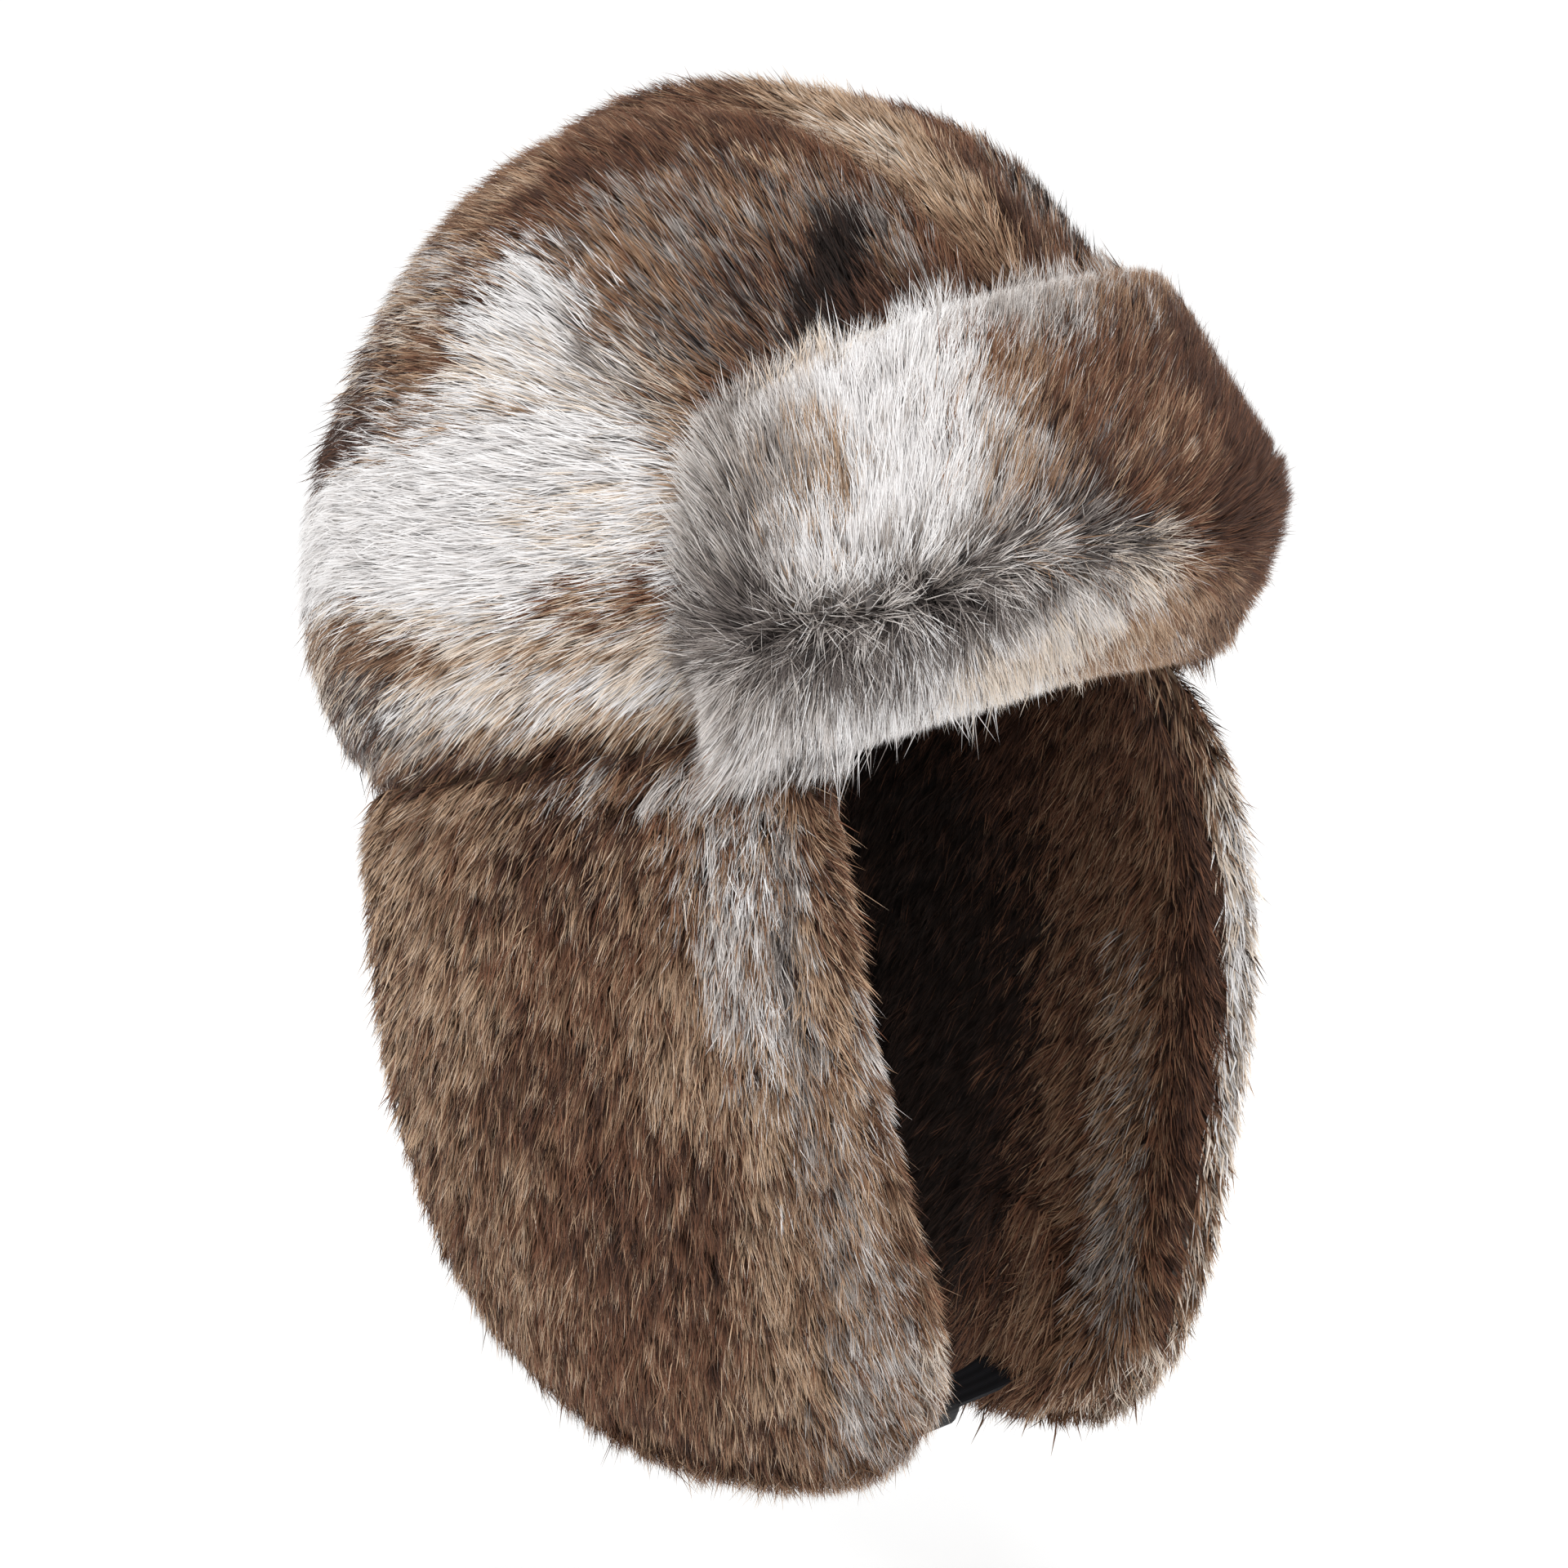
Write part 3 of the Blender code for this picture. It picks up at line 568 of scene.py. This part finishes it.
# ---------------------------------------------------------------- the pile, hair by hair
def pile(name, form, count, comb, patches, mirrored, depth, length, where=None,
         width=0.00031, lean=(54, 78), locks_mm=2.8, lock_pull=0.42, reach=0.0020, keep=None, extra=None):
    """Hairs rooted under the form's surface, combed along it and drawn together in locks."""
    chosen = form.furry.copy()
    if where is not None:
        chosen &= where(form.middle)
    index = np.where(chosen)[0]
    share = form.area[index].copy()
    if keep is not None:
        share *= keep(form.middle[index])
    pick = rng.choice(index, size=count, p=share / share.sum())
    r1, r2 = np.sqrt(rng.random(count)), rng.random(count)
    weight = np.stack([1 - r1, r1 * (1 - r2), r1 * r2], 1)
    tri = form.tri[pick]
    p = np.einsum("ij,ijk->ik", weight, form.points[tri])
    n = unit(np.einsum("ij,ijk->ik", weight, form.smooth[tri]))
    room = np.einsum("ij,ij->i", weight, form.room[tri])

    # locks: each hair belongs to the nearest of many centres
    area = form.area[index].sum()
    centres = max(20, int(area / (locks_mm * 1e-3) ** 2))
    chief = rng.choice(count, size=min(centres, count), replace=False)
    tree = kdtree.KDTree(len(chief))
    for k, i in enumerate(chief):
        tree.insert(p[i], k)
    tree.balance()
    lock = np.fromiter((tree.find(v)[1] for v in p), dtype=np.int64, count=count)
    lock_draw = rng.random(len(chief))[lock]
    lock_turn = rng.normal(size=(len(chief), 3))[lock]
    lock_long = rng.normal(size=len(chief))[lock]
    lock_lean = rng.normal(size=len(chief))[lock]
    gap = p - p[chief][lock]
    gap -= n * np.einsum("ij,ij->i", gap, n)[:, None]

    way, loose, rise = comb(p, n)
    way = way + lock_turn * (0.07 + 0.5 * loose)[:, None] + rng.normal(size=(count, 3)) * (0.07 + 0.45 * loose)[:, None]
    along = unit(way - n * np.einsum("ij,ij->i", way, n)[:, None])
    stray = rng.random(count) < 0.02
    long = length * (1 + 0.10 * lock_long.clip(-2, 2) + 0.13 * rng.normal(size=count).clip(-2, 2))
    long = long * np.where(stray, 1.28, 1.0)
    low = np.radians(lean[0] - rise + 5 * lock_lean + 7 * rng.normal(size=count) - 10 * stray)
    high = np.radians(lean[1] - rise + 7 * lock_lean + 8 * rng.normal(size=count) - 16 * stray)
    low, high = np.clip(low, 0.1, 1.45), np.clip(high, 0.15, 1.62)
    sunk = np.minimum(depth, room * 0.6)
    root = p - n * sunk[:, None]
    mid = root + (n * np.cos(low)[:, None] + along * np.sin(low)[:, None]) * (long * 0.5)[:, None]
    tip = mid + (n * np.cos(high)[:, None] + along * np.sin(high)[:, None]) * (long * 0.5)[:, None]
    pull = np.where(stray, 0.1, lock_pull * (0.6 + 0.6 * rng.random(count)))
    mid = mid - gap * (pull * 0.35)[:, None]
    tip = tip - gap * pull[:, None]
    limit = (reach if np.isscalar(reach) else reach(p)) + 0.0016 * rng.random(count) + 0.0022 * stray
    back = kept_close(tip, limit + 0 * p[:, 0])
    root, mid, tip = root + back, mid + back, tip + back

    run = unit(tip - root)
    flat = unit(np.cross(run, n))
    lift = np.cross(flat, run)
    roll = rng.uniform(-0.9, 0.9, count)
    side = flat * np.cos(roll)[:, None] + lift * np.sin(roll)[:, None]
    half = side * (width / 2 * (0.75 + 0.5 * rng.random(count)))[:, None]
    points = np.stack([root, mid - half, mid + half, tip], 1).reshape(-1, 3)
    base = np.arange(count)[:, None] * 4
    face = np.cross(half, run)
    turned = np.einsum("ij,ij->i", face, n) < 0
    first = np.where(turned[:, None], base + np.array([0, 1, 2]), base + np.array([0, 2, 1]))
    second = np.where(turned[:, None], base + np.array([1, 3, 2]), base + np.array([1, 2, 3]))
    tris = np.stack([first, second], 1).reshape(-1, 3)

    # a speck buried in the backing spans the whole map, so that a bake holds every tone
    deepest = int(np.argmax(room))
    across_it = unit(np.cross(n[deepest], (0.3, 0.2, 0.9))) * 0.0003
    up_it = unit(np.cross(across_it, n[deepest])) * 0.0003
    speck = p[deepest] - n[deepest] * (depth + 0.30 * (room[deepest] - depth))
    points = np.concatenate([points, [speck, speck + across_it, speck + across_it + up_it, speck + up_it]])
    last = count * 4
    tris = np.concatenate([tris, [[last, last + 1, last + 2], [last, last + 2, last + 3]]])

    ob = new_mesh(name, points, tris)
    tone, light = coat_tone(patches, p, lock_draw, mirrored)
    if extra is not None:
        tone, light = coat_tone(extra, p, lock_draw, None, tone, light)
    tone = np.clip(tone + rng.normal(size=count) * 0.016, 0.0, 1.0)
    # Hairs are darker towards the root, pale ones less so: partly the hairs' own darker roots, partly painted shade
    # deep in the pile.
    bright = np.interp(tone, (0.45, 0.62, 0.74, 0.84, 0.92), (0.0, 0.7, 1.0, 0.5, 0.0))
    shade = light + (0.16 * rng.normal(size=count) + 0.10 * lock_turn[:, 0].clip(-2, 2)) * (1 - 0.70 * bright)
    root_light_with_painted_shade = 0.10 + 0.42 * bright
    mid_light = 0.48 + 0.22 * bright
    tall = np.stack([root_light_with_painted_shade + shade * 0.5, mid_light + shade, mid_light + shade, 0.88 + shade], 1)
    tall = np.clip(tall, 0.01, 0.99).reshape(-1)
    # the root of a brown hair is browner and of a pale one greyer, partly the hair's own colour and partly painted
    # shade deep in the pile, and the tip is a little paler
    to_root = np.interp(tone, (0.0, 0.25, 0.50, 0.62, 0.70, 0.80, 0.985), (0.0, -0.12, -0.20, -0.10, 0.10, 0.12, 0.0))
    to_tip = np.interp(tone, (0.0, 0.12, 0.25, 0.50, 0.62, 0.74, 0.90, 0.985), (0.03, 0.13, 0.16, 0.10, 0.0, 0.0, -0.07, -0.10))
    frost = (rng.random(count) < 0.50) * rng.random(count) * 1.6
    across = np.stack([tone + to_root, tone + 0.4 * to_root - 0.0015, tone + 0.4 * to_root + 0.0015,
                       tone + to_tip * frost], 1)
    across = np.clip(across, (0.005, 0.003, 0.006, 0.005), (0.995, 0.994, 0.997, 0.995)).reshape(-1)
    corner = tris[:-2].reshape(-1)
    uv = np.concatenate([np.stack([across[corner], tall[corner]], 1), WHOLE_MAP.reshape(-1, 2)])
    set_maps(ob.data, uv)
    facing = unit(n + 0.55 * unit(np.cross(run, side)) * np.where(
        np.einsum("ij,ij->i", np.cross(run, side), n) < 0, -1.0, 1.0)[:, None])
    soft = np.repeat(facing[:, None, :], 4, axis=1)
    soft[:, 3] = unit(soft[:, 3] + 0.25 * along)
    soft = np.concatenate([soft.reshape(-1, 3), np.repeat(n[deepest][None], 4, axis=0)])
    ob.data.normals_split_custom_set_from_vertices(soft.tolist())
    ob.data.materials.append(coat)
    return ob


def crown_comb(p, n):
    """From the face back over the crown: up at the front, level at the ears, down towards the rim and nape."""
    x, y, z = p.T
    level = z + 0.149
    up = 0.9 * ease((level - 0.075) / 0.06) * ease((0.03 - y) / 0.08) - 0.9 * ease((0.055 - level) / 0.05)
    behind = ease((y - 0.03) / 0.08)
    way = np.stack([0.25 * np.sign(x) * ease((0.05 - level) / 0.05) * 0, 1 - 0.55 * behind, up - 0.1 - 0.9 * behind], 1)
    rise = 16 * ease((level - 0.09) / 0.05)
    return way, 0.10 + 0.0 * x, rise


def centre_comb(p, n):
    x, y, z = p.T
    behind = ease((y - 0.05) / 0.08)
    ahead = ease((-0.05 - y) / 0.06)
    way = np.stack([0.35 * np.sign(x) * np.abs(x) / 0.018, 1 + 0 * x, 0.9 * ahead - 1.2 * behind], 1)
    return way, 0.10 + 0.0 * x, 10 + 0.0 * x


def flap_comb(p, n):
    x, y, z = p.T
    ahead = ease((-0.045 - y) / 0.06)
    behind = ease((y - 0.0) / 0.07) * (1 - ease((y - 0.06) / 0.02))
    way = np.stack([-0.25 * np.sign(x) * ahead, -0.42 * ahead + 0.30 * behind, -1 + 0 * x], 1)
    return way, 0.12 + 0.10 * ahead, 4 + 6 * ahead


def lining_comb(p, n):
    x, y, z = p.T
    ahead = ease((-0.085 - y) / 0.025)
    way = np.stack([0 * x, 0.30 * (1 - ahead) - 0.65 * ahead, -1 + 0 * x], 1)
    strap = ease((0.020 - np.abs(y + 0.062)) / 0.010) * ease((-0.275 - z) / 0.012)
    return way, 0.16 + 0.2 * strap, 4 + 34 * strap


def by_strap(m):
    """Where the lining's longer tufts grow, round the sewn ends of the strap."""
    return (np.abs(m[:, 1] + 0.062) < 0.016) & (m[:, 2] < -0.290) & (m[:, 2] > -0.322)


def tuft_comb(p, n):
    x, y, z = p.T
    return np.stack([0 * x, 0 * x, -1 + 0 * x], 1), 0.14 + 0.0 * x, 0.0 * x


def over_strap(p):
    """The lining's pile stands prouder where the strap is sewn in under it."""
    x, y, z = p.T
    return 0.0018 + 0.0060 * ease((0.020 - np.abs(y + 0.062)) / 0.010) * ease((-0.285 - z) / 0.012)


# The parting of the front flap's pile, as seen in the picture: combed up above it and down below it.
Parting = namedtuple("Parting", "x y")
PARTING = [
    Parting(840, 800), Parting(900, 792), Parting(1000, 780), Parting(1130, 752),
    Parting(1250, 690), Parting(1380, 668), Parting(1480, 690), Parting(1580, 700),
]


def brim_comb(p, n):
    x, y = seen_at(p)
    line = np.interp(x, [q.x for q in PARTING], [q.y for q in PARTING])
    above = np.tanh((line - y) / 24.0)
    across = unit(np.cross(np.array((0.0, 0.0, 1.0)), n))
    fan = np.clip((x - 1075) / 330.0, -1.0, 1.25)
    fan = np.where(x < 935, fan - 1.1 * ease((935 - x) / 70.0), fan)
    way = np.stack([0 * x, 0 * x, above], 1) + across * (fan * (0.62 + 0.2 * (1 - np.abs(above))))[:, None]
    at_parting = np.exp(-(((line - y) / 30.0) ** 2))
    return way, 0.12 + 0.75 * at_parting, 6 + 22 * at_parting


# ---------------------------------------------------------------- build the furred pieces
right = lambda m: m[:, 0] < 0
left = lambda m: m[:, 0] >= 0
ahead_of = lambda m: m[:, 1] < 0.030
skins = {
    "crown_skin_right": backing("crown_skin_right", forms["crown_side_right"], 0.0065, SIDE_COAT, "right"),
    "crown_skin_centre": backing("crown_skin_centre", forms["crown_centre"], 0.0065, CENTRE_COAT, None),
    "crown_skin_left": backing("crown_skin_left", forms["crown_side_left"], 0.0065, SIDE_COAT, "right"),
    "brim_skin": backing("brim_skin", forms["front_flap"], 0.0070, BRIM_COAT, None),
    "flap_skin": backing("flap_skin", forms["flap_curtain"], 0.0060, FLAP_COAT, "right"),
    "lining_skin": backing("lining_skin", forms["flap_lining"], 0.0050, LINING_COAT, "left"),
}
furs = [
    pile("crown_fur_right_pile", forms["crown_side_right"], 88000, crown_comb, SIDE_COAT, "right",
         0.0066, 0.0130),
    pile("crown_fur_centre_pile", forms["crown_centre"], 42000, centre_comb, CENTRE_COAT, None,
         0.0066, 0.0130),
    pile("crown_fur_left_pile", forms["crown_side_left"], 49000, crown_comb, SIDE_COAT, "right",
         0.0066, 0.0130, width=0.00046),
    pile("brim_pile", forms["front_flap"], 92000, brim_comb, BRIM_COAT, None,
         0.0074, 0.0165, locks_mm=3.4, lock_pull=0.45, lean=(50, 72), reach=0.0026),
]
outer_pile = [
    pile("flap_pile_right", forms["flap_curtain"], 82000, flap_comb, FLAP_COAT, "right",
         0.0062, 0.0130, where=lambda m: right(m) & ahead_of(m), locks_mm=3.4),
    pile("flap_pile_left", forms["flap_curtain"], 34000, flap_comb, FLAP_COAT, "right",
         0.0062, 0.0130, where=lambda m: left(m) & ahead_of(m), width=0.00052, extra=LEFT_EDGE),
    pile("flap_pile_nape", forms["flap_curtain"], 20000, flap_comb, FLAP_COAT, "right",
         0.0062, 0.0130, where=lambda m: ~ahead_of(m), width=0.00055),
]
inner_pile = [
    pile("lining_pile_left", forms["flap_lining"], 38000, lining_comb, LINING_COAT, "left",
         0.0050, 0.0115, where=lambda m: left(m) & ahead_of(m), reach=over_strap),
    pile("lining_pile_right", forms["flap_lining"], 16000, lining_comb, LINING_COAT, "left",
         0.0050, 0.0115, where=lambda m: right(m) & ahead_of(m), width=0.00050, reach=over_strap),
    pile("lining_tufts", forms["flap_lining"], 3600, tuft_comb, LINING_COAT, "left",
         0.0045, 0.0190, where=by_strap, width=0.00040, lean=(36, 76), reach=0.0060, lock_pull=0.35),
    pile("lining_pile_nape", forms["flap_lining"], 9000, lining_comb, LINING_COAT, "left",
         0.0050, 0.0115, where=lambda m: ~ahead_of(m), width=0.00055),
]


# ---------------------------------------------------------------- strap and clasp
def webbing():
    """Black woven band: fine ribs across it, and a faint paler line along each edge that is a painted highlight."""
    m = bpy.data.materials.new("black_webbing")
    m.use_nodes = True
    t = m.node_tree
    shader = t.nodes["Principled BSDF"]
    where = t.nodes.new("ShaderNodeTexCoord")
    rib = t.nodes.new("ShaderNodeTexWave")
    rib.wave_type = "BANDS"
    rib.bands_direction = "X"
    rib.inputs["Scale"].default_value = 420.0
    rib.inputs["Distortion"].default_value = 0.6
    # Painted highlight: faint paler lines running along the band.
    line = t.nodes.new("ShaderNodeTexWave")
    line.wave_type = "BANDS"
    line.bands_direction = "Y"
    line.inputs["Scale"].default_value = 75.0
    both = t.nodes.new("ShaderNodeMath")
    both.operation = "MULTIPLY"
    t.links.new(where.outputs["Object"], rib.inputs["Vector"])
    t.links.new(where.outputs["Object"], line.inputs["Vector"])
    t.links.new(rib.outputs["Fac"], both.inputs[0])
    t.links.new(line.outputs["Fac"], both.inputs[1])
    ribs_and_painted_highlight = ramp(t, [(0.0, (0.002, 0.002, 0.003)), (1.0, (0.014, 0.014, 0.017))])
    t.links.new(both.outputs[0], ribs_and_painted_highlight.inputs[0])
    t.links.new(ribs_and_painted_highlight.outputs[0], shader.inputs["Base Color"])
    shader.inputs["Roughness"].default_value = 0.80
    shader.inputs["Specular IOR Level"].default_value = 0.20
    return m


def plastic():
    m = bpy.data.materials.new("black_plastic")
    m.use_nodes = True
    t = m.node_tree
    shader = t.nodes["Principled BSDF"]
    shader.inputs["Base Color"].default_value = (0.010, 0.010, 0.011, 1)
    shader.inputs["Roughness"].default_value = 0.60
    shader.inputs["Specular IOR Level"].default_value = 0.20
    grain = t.nodes.new("ShaderNodeTexNoise")
    grain.inputs["Scale"].default_value = 900.0
    bump = t.nodes.new("ShaderNodeBump")
    bump.inputs["Strength"].default_value = 0.06
    bump.inputs["Distance"].default_value = 0.0004
    t.links.new(grain.outputs["Fac"], bump.inputs["Height"])
    t.links.new(bump.outputs["Normal"], shader.inputs["Normal"])
    return m


# The band hangs a little flatter than its plain stand-in, and runs level into the pile at both ends.
band = Form("chin_strap")
low = band.points[:, 2].min()
band.points[:, 2] = low + 0.16 * (band.points[:, 2] - low) + 0.0010 * (band.points[:, 2] > low + 0.0012)
band_piece = new_mesh("chin_strap_band", band.points, band.tri, smooth=False)
band_piece.data.materials.append(webbing())
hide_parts("chin_strap")
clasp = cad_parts["chin_clasp"].data
clasp.materials.clear()
clasp.materials.append(plastic())

# ---------------------------------------------------------------- floor, light and camera
floor_mesh = bpy.data.meshes.new("floor")
s = 6.0
floor_mesh.from_pydata([(-s, -s, -0.44), (s, -s, -0.44), (s, s, -0.44), (-s, s, -0.44)], [], [(0, 1, 2, 3)])
floor = bpy.data.objects.new("floor", floor_mesh)
bpy.context.scene.collection.objects.link(floor)
pale = bpy.data.materials.new("pale_floor")
pale.use_nodes = True
pale.node_tree.nodes["Principled BSDF"].inputs["Base Color"].default_value = (0.93, 0.93, 0.93, 1)
pale.node_tree.nodes["Principled BSDF"].inputs["Roughness"].default_value = 0.9
pale.node_tree.nodes["Principled BSDF"].inputs["Emission Color"].default_value = (1, 1, 1, 1)
pale.node_tree.nodes["Principled BSDF"].inputs["Emission Strength"].default_value = 0.10
floor_mesh.materials.append(pale)
floor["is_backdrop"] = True

scene = bpy.context.scene
world = bpy.data.worlds.new("studio")
scene.world = world
world.use_nodes = True
world.node_tree.nodes["Background"].inputs[0].default_value = (1.0, 1.0, 1.0, 1)
world.node_tree.nodes["Background"].inputs[1].default_value = 1.0


def lamp(name, place, size, power):
    light = bpy.data.lights.new(name, "AREA")
    light.shape = "DISK"
    light.size = size
    light.energy = power
    ob = bpy.data.objects.new(name, light)
    ob.location = place
    ob.rotation_euler = (Vector(place) - Vector((0, 0, -0.15))).to_track_quat("Z", "Y").to_euler()
    scene.collection.objects.link(ob)
    ob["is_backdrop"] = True


lamp("key", (-0.9, -1.1, 1.3), 0.9, 16.0)
lamp("fill", (-1.6, 0.2, 0.3), 1.2, 5.0)
lamp("side", (0.9, -1.2, 0.3), 1.0, 4.0)

camera = bpy.data.cameras.new("camera")
camera.lens = LENS
camera.sensor_width = 36.0
camera.dof.use_dof = False
camera_object = bpy.data.objects.new("camera", camera)
scene.collection.objects.link(camera_object)
camera_object.location = Vector(AIM + BACK * DISTANCE)
camera_object.rotation_euler = Vector(BACK).to_track_quat("Z", "Y").to_euler()
scene.camera = camera_object
scene.view_settings.view_transform = "Standard"
scene.view_settings.look = "None"

size_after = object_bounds()


def plain(b):
    return [[float(x) for x in row] if hasattr(row, "__len__") else float(row) for row in b]


{"cad": plain(size_before), "visual": plain(size_after)}
